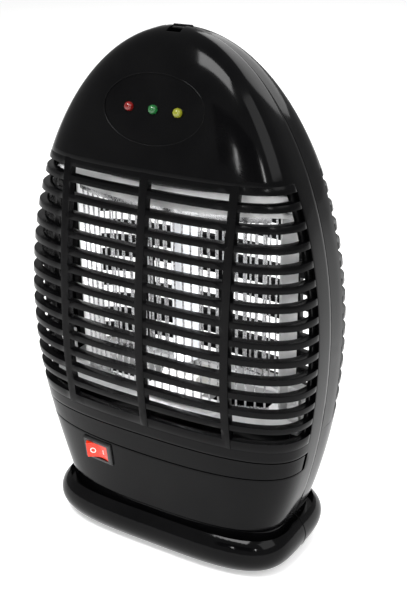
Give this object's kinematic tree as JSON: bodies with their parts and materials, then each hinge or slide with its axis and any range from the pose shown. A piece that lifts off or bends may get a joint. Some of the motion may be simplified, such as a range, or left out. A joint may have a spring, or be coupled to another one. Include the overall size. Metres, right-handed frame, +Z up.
{
  "type": "electric bug zapper",
  "caption": "Tabletop electric bug zapper: egg-shaped black housing with barred windows, wire grids round a lamp tube, rocker switch, pull-out tray and fold-away hanging tab.",
  "frame": {"origin": "bottom centre, on the plane under the feet", "axes": "+X right seen from the front, -Y the front with the switch, +Z up"},
  "size_m": [0.1864, 0.0954, 0.3051],
  "materials": {
    "black_plastic": "polished",
    "bar_plastic": "satin",
    "dark_plastic": "moulded",
    "switch_black": "satin",
    "rocker_red": "polished",
    "brass": "plain",
    "lens_red": "clear tinted",
    "lens_green": "clear tinted",
    "lens_yellow": "clear tinted",
    "board_green": "lacquered",
    "grid_steel": "drawn wire",
    "sheet_metal": "rolled sheet",
    "screw_steel": "zinc plated",
    "lamp_glass": "coated inside",
    "cap_metal": "pressed",
    "holder_white": "moulded",
    "rubber": "moulded",
    "core_iron": "laminated",
    "capacitor_blue": "sleeved"
  },
  "bodies": {
    "housing": {"front_shell": "black_plastic", "rear_shell": "black_plastic", "front_grille": "bar_plastic", "rear_grille": "bar_plastic", "base_front": "black_plastic", "base_rear": "black_plastic", "base_plate": "dark_plastic", "partition": "dark_plastic", "switch_body": "switch_black", "switch_terminals": "brass", "led_red": "lens_red", "led_green": "lens_green", "led_yellow": "lens_yellow", "led_board": "board_green", "front_grid": "grid_steel", "rear_grid": "grid_steel", "cage_floor": "sheet_metal", "cage_roof": "sheet_metal", "cheek_left": "sheet_metal", "cheek_right": "sheet_metal", "cage_screws": "screw_steel", "lamp_tube": "lamp_glass", "lamp_cap_lower": "cap_metal", "lamp_holder_lower": "holder_white", "lamp_cap_upper": "cap_metal", "lamp_holder_upper": "holder_white", "lamp_bracket": "sheet_metal", "shell_screws": "screw_steel", "foot_1": "rubber", "foot_2": "rubber", "foot_3": "rubber", "foot_4": "rubber", "circuit_board": "board_green", "transformer": "core_iron", "capacitors": "capacitor_blue", "cord_inlet": "rubber"},
    "rocker": {"rocker": "rocker_red"},
    "tray": {"insect_tray": "black_plastic"},
    "tab": {"hanging_tab": "black_plastic"}
  },
  "joints": [
    {"name": "rocker_hinge", "type": "hinge", "parent": "housing", "child": "rocker", "pos_m": [-0.03776, -0.03784, 0.05693], "axis": [-0.0118, -0.1268, 0.9919], "range_deg": [-22, 0]},
    {"name": "tray_slide", "type": "slide", "parent": "housing", "child": "tray", "axis": [0, -1, 0], "range_m": [0, 0.066]},
    {"name": "tab_hinge", "type": "hinge", "parent": "housing", "child": "tab", "pos_m": [0, 0.0026, 0.3033], "axis": [1, 0, 0], "range_deg": [0, 142]}
  ]
}
